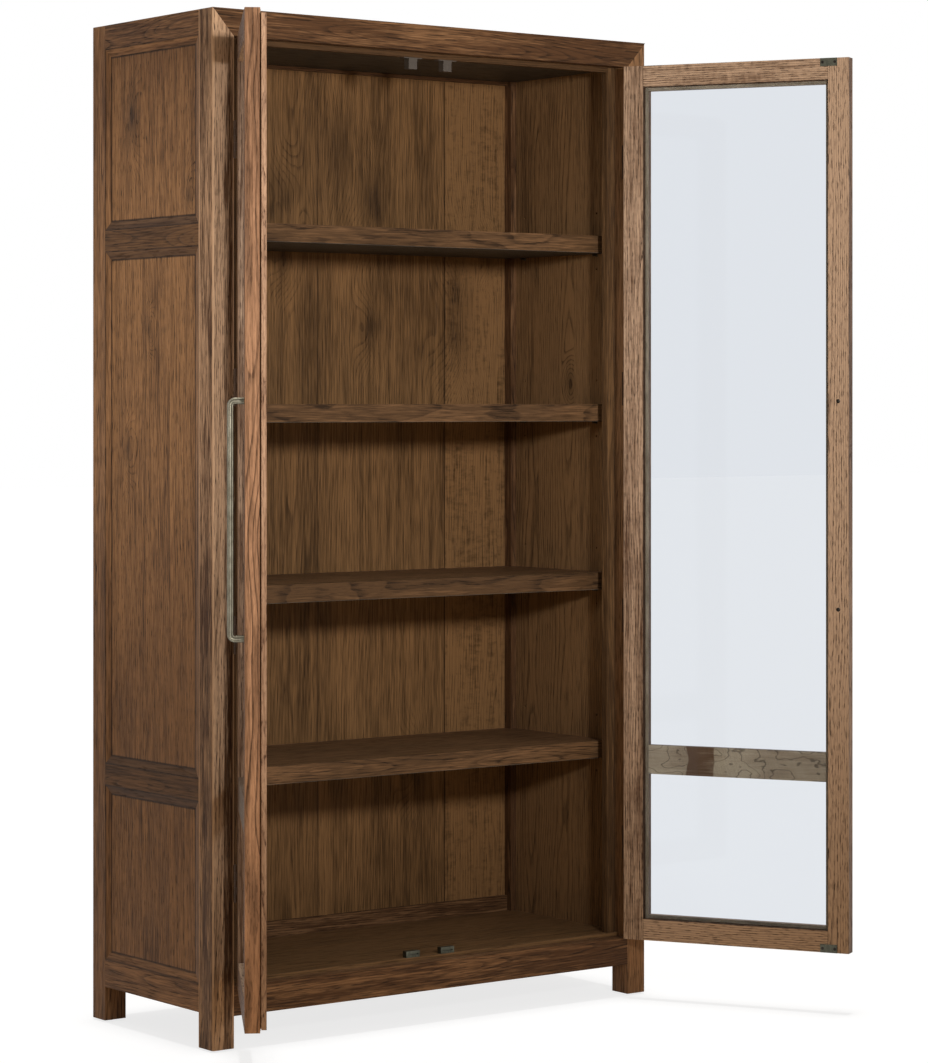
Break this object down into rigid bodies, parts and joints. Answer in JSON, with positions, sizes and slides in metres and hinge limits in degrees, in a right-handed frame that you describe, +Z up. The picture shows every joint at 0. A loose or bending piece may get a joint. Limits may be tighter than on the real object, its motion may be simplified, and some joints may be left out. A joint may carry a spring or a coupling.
{
  "type": "bookcase with glass doors",
  "caption": "Tall oak bookcase on short legs with panelled sides, open shelf bays and a pair of framed glass doors with long bar pulls, shown standing open.",
  "frame": {"origin": "on the floor, below the middle of the cabinet's front plane, which is the plane of the front posts' faces and of the closed doors", "axes": "+Z up, the front faces -Y, +Y runs back into the cabinet, -X is the cabinet's left side as seen from the front"},
  "size_m": [1.626, 0.969, 2.159],
  "materials": {
    "frame_wood": "stained oak, open grain, satin",
    "panel_wood": "stained oak veneer, satin",
    "mid_rail_wood": "darker stained oak, satin",
    "back_wood": "lighter stained oak veneer, satin",
    "inside_wood": "stained oak veneer, satin",
    "shelf_wood": "stained oak, satin",
    "door_wood": "stained oak, open grain, satin",
    "bar_wood": "stained oak with burl-like figure, satin",
    "door_glass": "clear float glass",
    "pull_pewter": "antique pewter, bevelled edges bright",
    "hinge_bronze": "dark oil-rubbed bronze",
    "strike_steel": "dull zinc-plated steel",
    "catch_plastic": "dark brown moulded plastic",
    "screw_steel": "blackened steel",
    "glide_plastic": "black nylon"
  },
  "bodies": {
    "cabinet": {"front_left_post": "frame_wood", "front_right_post": "frame_wood", "rear_left_post": "frame_wood", "rear_right_post": "frame_wood", "top_rail_front": "frame_wood", "bottom_rail_front": "frame_wood", "top_rail_rear": "frame_wood", "bottom_rail_rear": "frame_wood", "back_panel": "back_wood", "left_side_bottom_rail": "frame_wood", "left_side_top_rail": "frame_wood", "left_side_lower_mid_rail": "mid_rail_wood", "left_side_upper_mid_rail": "mid_rail_wood", "left_side_panel": "panel_wood", "left_side_mouldings": "frame_wood", "left_side_lining": "inside_wood", "right_side_bottom_rail": "frame_wood", "right_side_top_rail": "frame_wood", "right_side_lower_mid_rail": "mid_rail_wood", "right_side_upper_mid_rail": "mid_rail_wood", "right_side_panel": "panel_wood", "right_side_mouldings": "frame_wood", "right_side_lining": "inside_wood", "top_board": "inside_wood", "floor_board": "inside_wood", "shelf_1": "shelf_wood", "shelf_2": "shelf_wood", "shelf_3": "shelf_wood", "shelf_4": "shelf_wood", "shelf_pins": "strike_steel", "left_door_stop": "inside_wood", "right_door_stop": "inside_wood", "top_door_stop": "inside_wood", "foot_glides": "glide_plastic", "top_catches": "catch_plastic", "floor_magnets": "strike_steel", "left_hinge_cabinet_leaves": "hinge_bronze", "right_hinge_cabinet_leaves": "hinge_bronze", "cabinet_screws": "screw_steel"},
    "left_door": {"left_door_hinge_stile": "door_wood", "left_door_meeting_stile": "door_wood", "left_door_top_rail": "door_wood", "left_door_bottom_rail": "door_wood", "left_door_cross_bar": "bar_wood", "left_door_glass": "door_glass", "left_door_pull": "pull_pewter", "left_hinge_door_leaves": "hinge_bronze", "left_door_strikes": "strike_steel", "left_door_screws": "screw_steel", "astragal": "door_wood"},
    "right_door": {"right_door_hinge_stile": "door_wood", "right_door_meeting_stile": "door_wood", "right_door_top_rail": "door_wood", "right_door_bottom_rail": "door_wood", "right_door_cross_bar": "bar_wood", "right_door_glass": "door_glass", "right_door_pull": "pull_pewter", "right_hinge_door_leaves": "hinge_bronze", "right_door_strikes": "strike_steel", "right_door_screws": "screw_steel"}
  },
  "joints": [
    {"name": "left_door_hinge", "type": "hinge", "parent": "cabinet", "child": "left_door", "pos_m": [-0.52925, -0.0036, 1.117], "axis": [0, 0, -1], "range_deg": [-121.5, 58.5]},
    {"name": "right_door_hinge", "type": "hinge", "parent": "cabinet", "child": "right_door", "pos_m": [0.52925, -0.0036, 1.117], "axis": [0, 0, 1], "range_deg": [-119.5, 60.5]}
  ]
}
